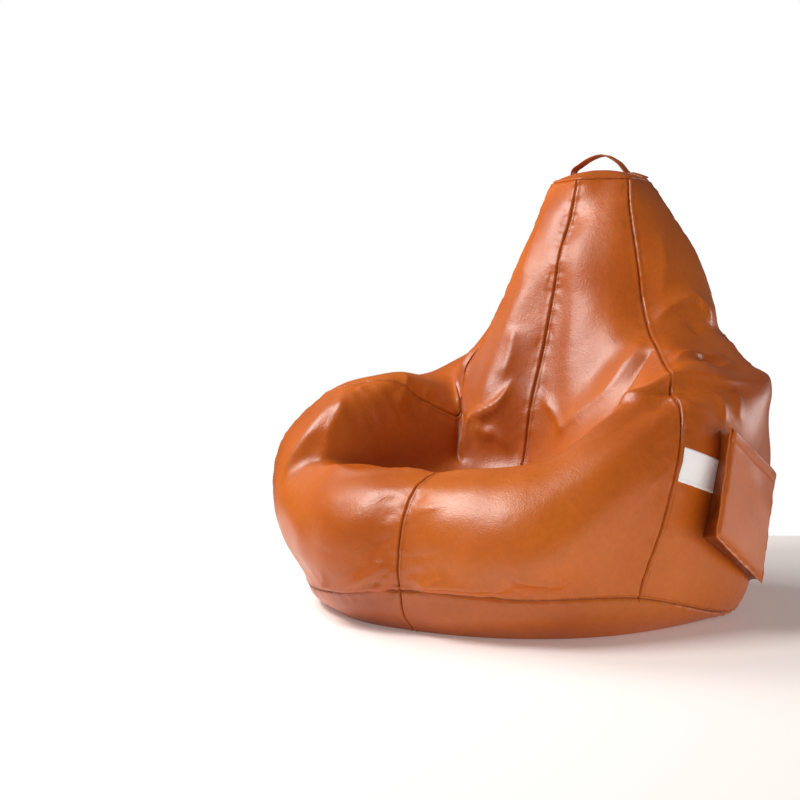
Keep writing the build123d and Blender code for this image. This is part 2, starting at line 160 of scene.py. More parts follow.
# Folds: a path of (gore, level) points, then height, width and steepness. See Cover.stroke.
FOLDS = [
    # the squeezed foot of the backrest, beside the seat's left corner
    ([(5.74, 4.6), (5.66, 5.1), (5.49, 5.3), (5.37, 5.4), (5.38, 5.7), (5.46, 6.0)], 12, 10, 0.3),
    ([(5.40, 5.4), (5.55, 5.5), (5.70, 5.5), (5.90, 5.7)], 8, 9, 0.0),
    ([(4.96, 6.1), (5.14, 6.0), (5.34, 6.0), (5.50, 6.0)], -9, 8, 0.0),
    ([(4.88, 4.2), (4.94, 4.7), (4.86, 5.5), (4.90, 6.0), (5.02, 6.0)], 9, 10, 0.3),
    # wrinkles inside the left arm, and puckers where its seam runs in
    ([(5.03, 9.1), (5.10, 8.4), (5.20, 7.6), (5.26, 7.2)], 3.4, 5, 0.2),
    ([(5.08, 9.0), (5.16, 8.3), (5.27, 7.6), (5.32, 7.2)], 3.4, 5, 0.2),
    ([(5.01, 8.7), (5.07, 8.1), (5.14, 7.5), (5.18, 7.2)], 3.4, 5, 0.2),
    ([(4.98, 8.4), (5.03, 7.9), (5.09, 7.4)], 3.0, 5, 0.2),
    ([(5.15, 8.9), (5.24, 8.2), (5.36, 7.6)], 3.0, 6, 0.2),
    ([(4.86, 8.0), (4.98, 7.7), (5.12, 7.5)], 4.0, 6, 0.2),
    # the gores bulge over the base seam at the front
    ([(5.50, 12.3), (5.70, 12.5), (5.86, 12.6), (5.97, 12.7)], 13, 10, 0.0),
    ([(5.97, 11.6), (5.90, 12.0), (5.80, 12.3), (5.66, 12.5)], 9, 8, 0.0),
    ([(0.04, 12.6), (0.20, 12.5), (0.36, 12.5), (0.46, 12.7)], 12, 10, 0.0),
    ([(0.40, 12.1), (0.52, 12.4), (0.66, 12.7)], 9, 9, 0.0),
    # the crest of the left arm, the lip and the right arm
    ([(4.94, 9.4), (5.20, 8.5), (5.35, 8.0), (5.43, 7.9), (5.49, 8.3)], 5, 14, 0.2),
    ([(5.46, 8.1), (5.63, 8.6), (5.75, 8.5), (5.90, 8.0), (6.01, 7.9)], 9, 14, 0.1),
    ([(5.98, 7.9), (6.10, 8.0), (6.37, 8.1), (6.52, 8.1), (6.67, 8.0), (6.80, 7.8)], 8, 14, 0.1),
    ([(0.74, 7.8), (0.79, 7.8), (0.89, 8.5), (0.99, 9.2), (1.06, 10.0), (1.21, 10.4)], 8, 11, 0.2),
    ([(0.70, 7.8), (0.79, 7.8), (0.90, 8.1), (1.00, 8.2), (1.12, 8.2), (1.37, 8.4), (1.81, 8.4)],
     11, 13, 0.3),
    ([(0.84, 8.2), (0.96, 8.6), (1.05, 9.0)], -6, 10, 0.0),
    # long soft folds down the backrest
    ([(5.41, 0.4), (5.38, 1.7), (5.40, 2.8)], 5, 18, 0.0),
    ([(5.53, 3.6), (5.58, 4.2), (5.61, 4.8)], 4, 16, 0.0),
    ([(0.24, 1.2), (0.24, 3.0), (0.28, 4.2), (0.28, 5.2)], 3, 30, 0.0),
    ([(0.50, 6.0), (0.70, 5.8), (0.88, 5.3), (0.99, 4.8)], -8, 16, 0.2),
    ([(0.12, 5.6), (0.38, 5.4), (0.63, 5.3), (0.87, 4.7), (1.00, 4.2)], 5, 20, 0.2),
    ([(0.06, 4.9), (0.22, 5.3), (0.30, 5.6)], 5, 9, 0.2),
    ([(1.34, 1.4), (1.28, 2.2), (1.16, 3.0)], 5, 20, 0.2),
    # the folds over the right shoulder
    ([(1.01, 3.7), (1.22, 3.2), (1.46, 2.9), (1.57, 3.2), (1.72, 3.9)], 12, 16, 0.3),
    ([(1.05, 6.7), (1.19, 6.3), (1.40, 6.1), (1.62, 6.2)], 9, 13, 0.3),
    ([(1.14, 7.6), (1.32, 7.3), (1.52, 6.9), (1.64, 6.3)], 5, 10, 0.2),
    # drape beside and over the pocket
    ([(1.26, 9.2), (1.27, 9.9), (1.25, 10.6)], 4, 9, 0.4),
    ([(1.42, 8.8), (1.40, 9.6), (1.36, 10.3)], 4, 10, 0.2),
    # puckers that run up from the base seam
    ([(5.90, 13.0), (5.95, 12.4), (6.00, 11.8)], 5, 9, 0.2),
    ([(6.08, 13.0), (6.14, 12.4), (6.20, 12.0)], 4.5, 8, 0.0),
    ([(5.60, 13.0), (5.66, 12.5), (5.70, 12.0)], 5, 9, 0.2),
    ([(0.53, 13.0), (0.50, 12.5)], -4, 10, 0.0),
]
# Hollows: gore, level, height and radius
HOLLOWS = [
    (5.54, 5.40, -4, 14), (1.42, 3.7, -9, 22), (1.34, 6.6, -7, 20), (0.40, 12.9, -4, 20),
]
# Short gathers along the seams: seam, levels from and to, how many a side, height and width
GATHERS = [
    (0, 0.3, 5.6, 13, 1.9, 9), (0, 8.2, 12.8, 12, 3.0, 7), (1, 0.3, 7.6, 18, 2.4, 8),
    (1, 8.6, 12.8, 9, 3.4, 7), (2, 0.3, 5.6, 8, 1.6, 12), (2, 6.0, 12.8, 11, 2.6, 11),
    (3, 0.3, 12.8, 20, 2.6, 10),
    (4, 0.3, 12.8, 20, 3.0, 10), (5, 0.3, 5.6, 9, 1.8, 12), (5, 7.0, 12.8, 16, 3.4, 7),
]

ROW_STEP = 4.4 * MM
# distances of the extra columns beside each seam
SEAM_COLUMNS = np.array([0.0, 1.3, 2.8, 4.6, 6.8, 9.5, 13.0]) * MM
INNER_COLUMNS = {  # columns between a gore's two seams, more where the front shows
    "front_right_panel": 90, "side_right_panel": 76, "rear_right_panel": 44,
    "rear_left_panel": 44, "side_left_panel": 58, "front_left_panel": 80,
}
PILLOW = 5 * MM  # how far a gore's middle stands out over its seams
TAUT_PANEL = "front_right_panel"  # the one gore that is pulled nearly flat
TAUT_SHARE = 0.2  # how much of the pillow it keeps
SEAM_DEPTH = 3.6 * MM
SEAM_WIDTH = 1.5 * MM
SEAM_WELT = 1.0 * MM
WELT_PLACE = 5 * MM  # from the seam to the welt beside it
WELT_WIDTH = 3.2 * MM
TUCK = 4 * MM  # how far a turned-in edge runs on behind its seam
PUCKER = 0.55 * MM
CREST_BLUNT = 0.55  # how round a fold's crest is, as a share of its width
RUMPLE = 0.0034 * MM  # height of a swell, for each millimetre of its length


# ---------------------------------------------------------------- curve helpers
def slopes(points, knots):
    """Tangents of a smooth curve through points that stand at uneven knots."""
    step = np.diff(knots).reshape((-1,) + (1,) * (points.ndim - 1))
    chord = np.diff(points, axis=0) / step
    inner = (chord[:-1] * step[1:] + chord[1:] * step[:-1]) / (step[1:] + step[:-1])
    return np.concatenate([chord[:1], inner, chord[-1:]])


def hermite(p0, m0, p1, m1, t, step):
    """A cubic from p0 to p1 with end slopes m0 and m1, at t from 0 to 1."""
    t2, t3 = t * t, t * t * t
    return (
        (2 * t3 - 3 * t2 + 1) * p0
        + (t3 - 2 * t2 + t) * step * m0
        + (3 * t2 - 2 * t3) * p1
        + (t3 - t2) * step * m1
    )


def smooth_curve(points, at, knots=None):
    """Positions on the curve through points, at the given knot values."""
    points = np.asarray(points, float)
    if knots is None:
        knots = np.arange(len(points), dtype=float)
    m = slopes(points, knots)
    k = np.clip(np.searchsorted(knots, at, side="right") - 1, 0, len(knots) - 2)
    shape = (-1,) + (1,) * (points.ndim - 1)
    step = (knots[k + 1] - knots[k]).reshape(shape)
    t = (at - knots[k]).reshape(shape) / step
    return hermite(points[k], m[k], points[k + 1], m[k + 1], t, step)


def unit(vectors):
    return vectors / np.maximum(np.linalg.norm(vectors, axis=-1, keepdims=True), 1e-12)


def distances(points, axis=0):
    """How far each point lies along its line of points, measured from the line's first one."""
    step = np.linalg.norm(np.diff(points, axis=axis), axis=-1)
    start = np.zeros_like(np.take(step, [0], axis=axis))
    return np.concatenate([start, np.cumsum(step, axis=axis)], axis=axis)


def surface_normals(grid):
    """Outward normals of a grid whose columns run round the chair and whose rows run down."""
    down = np.gradient(grid, axis=0)
    around = np.roll(grid, -1, axis=1) - np.roll(grid, 1, axis=1)
    return unit(np.cross(down, around))


# ---------------------------------------------------------------- the cover's surface
class Cover:
    """The sculpted surface, as a grid of rows from the cap's rim to the edge of the flat base.

    The columns run once round the chair from the front seam, and each gore's seams are columns.
    """

    def __init__(self):
        azimuths = sorted(MERIDIANS)
        cage = np.array([MERIDIANS[a] for a in azimuths], float) * MM
        cage = np.swapaxes(cage, 0, 1)  # level, meridian, xyz
        count = len(cage)
        step = np.linalg.norm(np.diff(cage, axis=0), axis=2)
        rows = []
        self.level_row = [0]
        for level, length in enumerate(step.mean(axis=1)):
            share = max(2, round(length / ROW_STEP))
            rows += list(np.linspace(level, level + 1, share, endpoint=False))
            self.level_row.append(len(rows))
        rows.append(count - 1)
        self.level = np.array(rows, float)
        rings = []
        for meridian in range(cage.shape[1]):
            gone = np.concatenate([[0.0], np.cumsum(step[:, meridian])])
            at = np.interp(self.level, np.arange(count), gone)
            rings.append(smooth_curve(cage[:, meridian], at, gone))
        rings = np.swapaxes(np.array(rings), 0, 1)
        # close the ring, and give the curve round it its true slope at the first seam
        knots = np.array([azimuths[-1] - 360] + azimuths + [360, 360 + azimuths[1]], float)
        ring = np.concatenate([rings[:, -1:], rings, rings[:, :2]], axis=1)
        ring = np.swapaxes(ring, 0, 1)  # meridian, row, xyz
        tangent = slopes(ring, knots)

        def evaluate(azimuth):
            """Positions at an array of azimuths, one row of azimuths for each row."""
            k = np.clip(np.searchsorted(knots, azimuth, side="right") - 1, 1, len(knots) - 3)
            row = np.arange(azimuth.shape[0])[:, None]
            step = (knots[k + 1] - knots[k])[..., None]
            t = (azimuth - knots[k])[..., None] / step
            ends = ring[k, row], tangent[k, row], ring[k + 1, row], tangent[k + 1, row]
            return hermite(*ends, t, step)

        self.columns = {}
        blocks, across = [], []
        first = 0
        for name, start in GORES.items():
            share = np.linspace(0, 1, 60)
            probe = evaluate(start + GORE_WIDTH * np.tile(share, (len(rows), 1)))
            walked = distances(probe, axis=1)
            total = walked[:, -1]
            scale = np.minimum(1.0, 0.25 * total / SEAM_COLUMNS[-1])[:, None]
            edge = SEAM_COLUMNS[None, :] * scale
            middle = np.linspace(0, 1, INNER_COLUMNS[name] + 2)[1:-1][None, :]
            middle = edge[:, -1:] + (total[:, None] - 2 * edge[:, -1:]) * middle
            distance = np.concatenate([edge, middle, total[:, None] - edge[:, :0:-1]], axis=1)
            t = np.array([np.interp(d, w, share) for d, w in zip(distance, walked)])
            blocks.append(evaluate(start + GORE_WIDTH * t))
            across.append(distance / total[:, None])
            self.columns[name] = (first, first + distance.shape[1])
            first += distance.shape[1]
        self.grid = np.concatenate(blocks, axis=1)
        self.across = np.concatenate(across, axis=1)
        self.lift = np.zeros(self.grid.shape[:2])
        self.normal = surface_normals(self.grid)

    def place(self, gore, level):
        """A point of the surface. gore counts seams round from the front one, as in 1.5 for the
        middle of the second gore, and level counts the meridians' levels down from the rim."""
        name = list(GORES)[int(gore) % len(GORES)]
        first, last = self.columns[name]
        take = np.arange(first, last + 1) % self.grid.shape[1]
        row = np.interp(level, self.level, np.arange(len(self.level)))
        low = min(int(row), len(self.level) - 2)
        found = []
        for r in (low, low + 1):
            share = np.append(self.across[r, first:last], 1.0)
            found.append([np.interp(gore % 1, share, self.grid[r, take, k]) for k in range(3)])
        return np.array(found[0]) * (low + 1 - row) + np.array(found[1]) * (row - low)

    def push(self, height):
        """Moves every point along its normal by a height given for each point."""
        self.grid = self.grid + surface_normals(self.grid) * height[..., None]

    def pillow(self):
        """Stuffs the gores, so that each stands out a little between its seams."""
        fade = np.clip(self.level / 1.0, 0, 1) * np.clip((FLOOR_EDGE - self.level) / 1.5, 0, 1)
        height = PILLOW * fade[:, None] * (4 * self.across * (1 - self.across)) ** 0.7
        first, last = self.columns[TAUT_PANEL]
        height[:, first:last] *= TAUT_SHARE
        self.push(height)

    def stroke(self, path, height, width, lean=0.0, fade=0.25):
        """A ridge, or with a negative height a channel, along a path of (gore, level) points.

        Its crest is crisp and its sides run out slowly. lean above 0 makes the side to the
        right of the path steeper, and fade is the share of the path over which an end runs out.
        """
        path = np.array([self.place(*point) for point in path])
        line = smooth_curve(path, np.linspace(0, len(path) - 1, 10 * len(path)))
        near = (self.grid > line.min(0) - 4 * width) & (self.grid < line.max(0) + 4 * width)
        rows, cols = np.nonzero(near.all(axis=2))
        points = self.grid[rows, cols]
        normal = self.normal[rows, cols]
        start, run = line[:-1], np.diff(line, axis=0)
        t = ((points[:, None] - start) * run).sum(2) / (run * run).sum(1)
        t = np.clip(t, 0, 1)
        gap = points[:, None] - (start + run * t[..., None])
        distance = np.linalg.norm(gap, axis=2)
        pick = distance.argmin(axis=1)
        index = np.arange(len(points))
        along = (pick + t[index, pick]) / len(run)
        side = (np.cross(run[pick], normal) * gap[index, pick]).sum(1)
        x = distance[index, pick] / width * np.where(side > 0, 1 + 1.5 * lean, 1 - 0.4 * lean)
        taper = np.clip(np.minimum(along, 1 - along) / fade, 0, 1)
        taper = taper * taper * (3 - 2 * taper)
        shape = np.exp(CREST_BLUNT - np.sqrt(x * x * 1.7 + CREST_BLUNT**2))
        shape -= np.exp(CREST_BLUNT - 4 * 1.3)
        self.lift[rows, cols] += height * taper * np.maximum(shape, 0)

    def settle(self):
        """Moves the surface by the strokes made since the last time."""
        self.push(self.lift)
        self.lift[:] = 0
        self.normal = surface_normals(self.grid)

    def gather(self):
        """Short, uneven wrinkles where the stitching draws the leather in at a seam."""
        random = np.random.default_rng(11)
        for seam, top, bottom, count, height, width in GATHERS:
            for side in (-1, 1):
                for level in np.linspace(top, bottom, count) + random.uniform(-0.1, 0.1, count):
                    reach = random.uniform(0.05, 0.16)
                    turn = random.uniform(-0.25, 0.25)
                    root, tip = seam + 6 + side * 0.004, seam + 6 + side * reach
                    middle = (0.5 * (root + tip), level + 0.3 * turn)
                    path = [(root, level), middle, (tip, level + turn)]
                    up = height * random.uniform(-1.0, 1.0) * MM
                    self.stroke(path, up, width * random.uniform(0.7, 1.3) * MM, 0.0, 0.5)
        self.settle()

    def dimple(self, gore, level, height, size):
        """A round bump, or with a negative height a hollow, of the radius size."""
        gap = (self.grid - self.place(gore, level)) / size
        self.push(height * np.exp(-(gap * gap).sum(axis=2)))

    def rumple(self):
        """Long, low, uneven swells, as slack leather has over loose beads."""
        random = np.random.default_rng(7)
        fade = np.clip(self.level / 0.8, 0, 1) * np.clip((BASE_SEAM - self.level) / 1.0, 0, 1)
        height = np.zeros(self.grid.shape[:2])
        for length in (280, 230, 190, 150, 120, 90, 70):
            for _ in range(3):
                wave = unit(random.normal(size=3)) * 2 * math.pi / (length * MM)
                swell = np.sin(self.grid @ wave + random.uniform(0, 2 * math.pi))
                height += swell * length * RUMPLE
        self.push(height * fade[:, None])

    def gore(self, name):
        """A gore's own grid, its normals, and each column's distance from the nearer seam."""
        first, last = self.columns[name]
        take = np.arange(first, last + 1) % self.grid.shape[1]
        grid = self.grid[:, take]
        walked = distances(grid, axis=1)
        return grid, surface_normals(self.grid)[:, take], walked, walked[:, -1:] - walked


# ---------------------------------------------------------------- mesh helpers
def new_piece(name, points, faces, material, body, smooth=True):
    mesh = bpy.data.meshes.new(name)
    mesh.from_pydata([tuple(p) for p in np.asarray(points).reshape(-1, 3)], [], faces)
    mesh.validate()
    if smooth:
        mesh.shade_smooth()
    mesh.materials.append(material)
    piece = bpy.data.objects.new(name, mesh)
    bpy.context.scene.collection.objects.link(piece)
    if body:
        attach(piece, body)
    return piece


def grid_faces(rows, cols, closed=False, flip=False):
    """Faces of a grid of points stored row by row."""
    faces = []
    for r in range(rows - 1):
        for c in range(cols if closed else cols - 1):
            right = (c + 1) % cols
            above, below = r * cols, (r + 1) * cols
            face = (above + c, below + c, below + right, above + right)
            faces.append(face[::-1] if flip else face)
    return faces


def grid_piece(name, grid, material, closed=False, flip=False):
    """A piece of the bag made from a grid of points."""
    faces = grid_faces(*grid.shape[:2], closed=closed, flip=flip)
    return new_piece(name, grid, faces, material, "bag")


def add_thickness(piece, thickness, offset=-1.0):
    """Gives a surface a thickness: offset -1 puts it all behind the surface, and 0 centres it."""
    solid = piece.modifiers.new("thickness", "SOLIDIFY")
    solid.thickness = thickness
    solid.offset = offset


# ---------------------------------------------------------------- materials
def new_material(name):
    material = bpy.data.materials.new(name)
    material.use_nodes = True
    nodes, links = material.node_tree.nodes, material.node_tree.links
    return material, nodes, links, nodes["Principled BSDF"]


def set_inputs(node, values):
    for name, value in values.items():
        node.inputs[name].default_value = value


def leather(name, tint=(1.0, 1.0, 1.0)):
    """Cognac faux leather: a fine pebbled grain, cloudy colour and a satin face."""
    material, nodes, links, shader = new_material(name)
    place = nodes.new("ShaderNodeTexCoord")

    def noise(scale, detail, roughness=0.5):
        node = nodes.new("ShaderNodeTexNoise")
        set_inputs(node, {"Scale": scale, "Detail": detail, "Roughness": roughness})
        links.new(place.outputs["Object"], node.inputs["Vector"])
        return node.outputs["Fac"]

    def ramp(value, stops):
        node = nodes.new("ShaderNodeValToRGB")
        while len(node.color_ramp.elements) < len(stops):
            node.color_ramp.elements.new(0.5)
        for element, (position, colour) in zip(node.color_ramp.elements, stops):
            element.position = position
            element.color = (*colour, 1)
        links.new(value, node.inputs["Fac"])
        return node.outputs["Color"]

    def shade(r, g, b):
        return (r * tint[0], g * tint[1], b * tint[2])

    cloud = noise(3.2, 3.0)
    colour = ramp(cloud, [
        (0.30, shade(0.375, 0.070, 0.006)),
        (0.52, shade(0.49, 0.106, 0.0085)),
        (0.72, shade(0.58, 0.142, 0.014)),
    ])
    mottle = ramp(noise(95.0, 4.0), [(0.35, (0.86, 0.84, 0.82)), (0.65, (1.0, 1.0, 1.0))])
    mix = nodes.new("ShaderNodeMix")
    mix.data_type = "RGBA"
    mix.blend_type = "MULTIPLY"
    mix.inputs["Factor"].default_value = 0.55
    links.new(colour, mix.inputs["A"])
    links.new(mottle, mix.inputs["B"])
    links.new(mix.outputs["Result"], shader.inputs["Base Color"])

    rough = ramp(noise(14.0, 5.0), [(0.3, (0.33, 0.33, 0.33)), (0.7, (0.42, 0.42, 0.42))])
    links.new(rough, shader.inputs["Roughness"])

    pebble = nodes.new("ShaderNodeTexVoronoi")
    pebble.feature = "SMOOTH_F1"
    set_inputs(pebble, {"Scale": 340.0, "Smoothness": 0.6})
    links.new(place.outputs["Object"], pebble.inputs["Vector"])
    grain = nodes.new("ShaderNodeBump")
    set_inputs(grain, {"Strength": 0.42, "Distance": 0.0006})
    links.new(pebble.outputs["Distance"], grain.inputs["Height"])
    soft = nodes.new("ShaderNodeBump")
    set_inputs(soft, {"Strength": 0.20, "Distance": 0.003})
    links.new(noise(60.0, 3.0), soft.inputs["Height"])
    links.new(grain.outputs["Normal"], soft.inputs["Normal"])
    links.new(soft.outputs["Normal"], shader.inputs["Normal"])
    set_inputs(shader, {"Specular IOR Level": 0.56, "Coat Weight": 0.06, "Coat Roughness": 0.22})
    return material


def cloth(name, colour, scale, roughness=0.85):
    """Woven cloth or tape, with crossed threads in its bump and colour."""
    material, nodes, links, shader = new_material(name)
    place = nodes.new("ShaderNodeTexCoord")
    waves = []
    for direction in ("X", "Y"):
        wave = nodes.new("ShaderNodeTexWave")
        wave.bands_direction = direction
        set_inputs(wave, {"Scale": scale, "Distortion": 0.4})
        links.new(place.outputs["Object"], wave.inputs["Vector"])
        waves.append(wave.outputs["Fac"])
    weave = nodes.new("ShaderNodeMath")
    weave.operation = "MAXIMUM"
    links.new(waves[0], weave.inputs[0])
    links.new(waves[1], weave.inputs[1])
    node = nodes.new("ShaderNodeValToRGB")
    node.color_ramp.elements[0].color = (*[c * 0.86 for c in colour], 1)
    node.color_ramp.elements[1].color = (*colour, 1)
    links.new(weave.outputs[0], node.inputs["Fac"])
    links.new(node.outputs["Color"], shader.inputs["Base Color"])
    bump = nodes.new("ShaderNodeBump")
    set_inputs(bump, {"Strength": 0.35, "Distance": 0.0004})
    links.new(weave.outputs[0], bump.inputs["Height"])
    links.new(bump.outputs["Normal"], shader.inputs["Normal"])
    shader.inputs["Roughness"].default_value = roughness
    return material


def metal(name, colour):
    """Satin brass with fine wear."""
    material, nodes, links, shader = new_material(name)
    place = nodes.new("ShaderNodeTexCoord")
    node = nodes.new("ShaderNodeTexNoise")
    node.inputs["Scale"].default_value = 400.0
    links.new(place.outputs["Object"], node.inputs["Vector"])
    ramp = nodes.new("ShaderNodeValToRGB")
    ramp.color_ramp.elements[0].color = (0.28, 0.28, 0.28, 1)
    ramp.color_ramp.elements[1].color = (0.46, 0.46, 0.46, 1)
    links.new(node.outputs["Fac"], ramp.inputs["Fac"])
    links.new(ramp.outputs["Color"], shader.inputs["Roughness"])
    set_inputs(shader, {"Base Color": (*colour, 1), "Metallic": 1.0})
    return material


LEATHER = leather("cognac_leather")
BASE_LEATHER = leather("base_leather", (0.92, 0.92, 0.92))
STRAP_LEATHER = leather("strap_leather", (0.95, 0.95, 0.95))
POCKET_LEATHER = leather("pocket_leather")
GUSSET_SHADE_LEATHER = leather("gusset_painted_shade_leather", (0.60, 0.54, 0.50))  # painted shade: darkened to stand for the shadow in the gusset's deep fold
# painted shade: a darker copy of the leather for the bottom of the seam grooves, where shade falls
SEAM_GROOVE_SHADE = leather("seam_groove_painted_shade", (0.40, 0.37, 0.34))
THREAD = cloth("thread", (0.36, 0.115, 0.028), 2400.0)
LABEL_CLOTH = cloth("label_cloth", (0.98, 0.98, 0.97), 1500.0)
INNER_CLOTH = cloth("inner_cloth", (0.80, 0.80, 0.78), 700.0)
ZIP_TAPE = cloth("zip_tape", (0.13, 0.045, 0.016), 900.0)
ZIP_COIL = cloth("zip_coil", (0.10, 0.034, 0.013), 800.0, 0.4)
BRASS = metal("antique_brass", (0.60, 0.46, 0.26))
BEADS = cloth("foam_beads", (0.90, 0.90, 0.89), 250.0)

def sculpt_cover():
    """The finished surface, and a coarse copy from before its folds for the inner bag."""
    surface = Cover()
    surface.pillow()
    coarse = surface.grid[::3, ::4].copy()
    surface.settle()
    for path, height, width, lean in FOLDS:
        surface.stroke(path, height * MM, width * MM, lean)
    surface.settle()
    for gore, level, height, size in HOLLOWS:
        surface.dimple(gore, level, height * MM, size * MM)
    surface.rumple()
    surface.settle()
    surface.gather()
    return surface, coarse


cover, unfolded = sculpt_cover()


# ---------------------------------------------------------------- the cover's pieces
def seam_profile(distance, lapped):
    """How far the leather stands off near a seam: turned in at the edge, with a raised welt."""
    groove = -SEAM_DEPTH * np.exp(-((distance / SEAM_WIDTH) ** 2))
    welt = SEAM_WELT * (1.4 if lapped else 0.7)
    return groove + welt * np.exp(-(((distance - WELT_PLACE) / WELT_WIDTH) ** 2))


def pucker(distance, along, start):
    """Small uneven gathers that the stitching draws in beside a seam."""
    along = along / MM + start
    beat = np.sin(along / 3.4) * np.sin(along / 11.0 + 1.0) + 0.7 * np.sin(along / 6.1 + 2.0)
    reach = np.exp(-((distance - 6 * MM) / (12 * MM)) ** 2)
    return PUCKER * beat * reach


def build_gores():
    """The six gores, from the cap's rim to the base seam."""
    pieces = {}
    last_row = cover.level_row[BASE_SEAM]
    for name in GORES:
        grid, normal, from_left, from_right = cover.gore(name)
        lift = seam_profile(from_left, True) + seam_profile(from_right, False)
        walked = distances(grid)
        lift += seam_profile(walked, False) + seam_profile(np.abs(walked[last_row] - walked), True)
        place = len(pieces) * 57.0
        lift += pucker(from_left, walked, place) + pucker(from_right, walked, place + 20)
        lift += pucker(walked[last_row] - walked, from_left, place + 40)
        grid = (grid + normal * lift[..., None])[: last_row + 1]
        piece = grid_piece(name + "_leather", grid, LEATHER)
        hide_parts(name)
        pieces[piece] = grid, normal[: last_row + 1]
    return pieces


def build_cap(seam):
    """The six-sided top cap, crowned, with its edge turned in at the rim seam."""
    rim = cover.grid[0]
    centre = rim.mean(axis=0)
    steps = np.concatenate([[0.0, 0.015, 0.035, 0.06, 0.1], np.linspace(0.16, 1, 14)])
    rings = []
    for step in steps:
        rise = 22 * MM * (1 - (1 - step) ** 2.2)
        distance = step * 0.1
        ring = centre + (rim - centre) * (1 - step)
        ring[:, 2] = rim[:, 2] * (1 - step) + centre[2] * step + rise
        ring[:, 2] += seam_profile(np.array([distance]), True)[0]
        rings.append(ring)
    # the first ring meets the gores, and one before it is the turned-in edge
    rings[0] = seam
    rings.insert(0, seam + (centre - seam) * 0.03 - (0, 0, TUCK))
    grid = np.array(rings)
    piece = grid_piece("top_cap_leather", grid, LEATHER, closed=True, flip=True)
    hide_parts("top_cap")
    upright = np.tile((0.0, 0.0, 1.0), (grid.shape[1] + 1, 1))
    return piece, [(np.append(grid[4], grid[4][:1], axis=0), upright)]


RECESS_END = 15 * MM  # how far the zip's recess runs on past the zip
RECESS_HALF = 17 * MM  # half the recess's width
SLOT_HALF = 7 * MM  # half the opening that the zip's tapes fill


def build_base(seam):
    """The two base halves, with the zip's recess let into their shared seam."""
    half_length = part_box("zip_tape_left")[1].y + RECESS_END
    first_row = cover.level_row[BASE_SEAM]
    for name, start, end in (
        ("base_panel_right", "front_right_panel", "rear_left_panel"),
        ("base_panel_left", "rear_left_panel", "front_right_panel"),
    ):
        side = 1 if name.endswith("right") else -1
        low, high = cover.columns[start][0], cover.columns[end][0]
        total = cover.grid.shape[1]
        take = np.arange(low, high if high > low else high + total) % total
        take = np.append(take, high % total)
        wall = cover.grid[first_row:, take].copy()
        normal = cover.normal[first_row:, take]
        walked, crossed = distances(wall), distances(wall, axis=1)
        lift = seam_profile(walked, False) + pucker(walked, crossed, 20.0 * side)
        lift += seam_profile(crossed, True) + seam_profile(crossed[:, -1:] - crossed, True)
        wall += normal * lift[..., None]
        wall[0] = seam[take]
        wall = np.concatenate([wall[:1] - normal[:1] * TUCK + (0, 0, TUCK), wall])
        edge = wall[-1]
        # the recess outline, walked from the front end to the rear end
        share = np.linspace(0, 1, len(take)) if side > 0 else np.linspace(1, 0, len(take))
        corners = np.array([
            (0, -half_length), (RECESS_HALF, -half_length),
            (RECESS_HALF, half_length), (0, half_length),
        ])
        corners[:, 0] *= side
        stops = np.array([0.0, 0.06, 0.94, 1.0])
        outline = np.stack([np.interp(share, stops, corners[:, i]) for i in (0, 1)], axis=1)
        slot = outline.copy()
        slot[:, 0] = side * np.minimum(np.abs(outline[:, 0]), SLOT_HALF)
        slot[:, 1] = np.clip(outline[:, 1], -half_length + RECESS_END, half_length - RECESS_END)
        rings = list(wall)
        for step in np.linspace(0, 1, 14)[1:]:
            ring = np.empty_like(edge)
            ring[:, :2] = edge[:, :2] * (1 - step) + outline * step
            ring[:, 2] = edge[:, 2] * (1 - step) ** 6 + 0.6 * MM
            rings.append(ring)
        for shape, z in ((outline, 3.5), (outline, 7.2), (slot, 7.6), (slot, 8.6)):
            rings.append(np.column_stack([shape, np.full(len(shape), z * MM)]))
        piece = grid_piece(name + "_leather", np.array(rings), BASE_LEATHER)
        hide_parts(name)


def build_inside():
    """The woven inner bag and the bead fill, closely under the cover."""
    normal = surface_normals(unfolded)
    bag_nodes = ("inner_bag_body", "inner_bag_base")
    for name, depth, material, slot, nodes in (
        ("inner_bag_cloth", 15 * MM, INNER_CLOTH, "inner_cloth", bag_nodes),
        ("bead_fill_body", 19 * MM, BEADS, "bead_fill", ("bead_fill",)),
    ):
        wall = unfolded - normal * depth
        top, foot = wall[0], wall[-1]
        rings = []
        for step in (0.96, 0.7, 0.4, 0.15):
            ring = top * (1 - step) + top.mean(axis=0) * step
            ring[:, 2] += 10 * MM * step - 0.4 * depth
            rings.append(ring)
        rings += list(wall)
        for step in (0.1, 0.4, 0.7, 0.96):
            ring = foot * (1 - step) + foot.mean(axis=0) * step
            ring[:, 2] = depth + 4 * MM
            rings.append(ring)
        grid = np.array(rings)
        rows, cols = grid.shape[:2]
        faces = grid_faces(rows, cols, closed=True)
        faces.append(tuple(range(cols))[::-1])
        faces.append(tuple((rows - 1) * cols + c for c in range(cols)))
        piece = new_piece(name, grid, faces, material, "bag")
        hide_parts(*nodes)


# ---------------------------------------------------------------- what is sewn on the cover
class Skin:
    """The finished cover pieces, to lay other pieces on."""

    def __init__(self, pieces):
        points, faces = [], []
        for piece in pieces:
            first = len(points)
            points += [v.co.copy() for v in piece.data.vertices]
            faces += [[first + v for v in p.vertices] for p in piece.data.polygons]
        self.tree = BVHTree.FromPolygons(points, faces)

    def hit(self, start, direction):
        """Where a ray first meets the cover, and the cover's outward normal there."""
        place, normal, _, _ = self.tree.ray_cast(Vector(start), Vector(direction))
        if normal.dot(Vector(direction)) > 0:
            normal = -normal
        return np.array(place), np.array(normal)


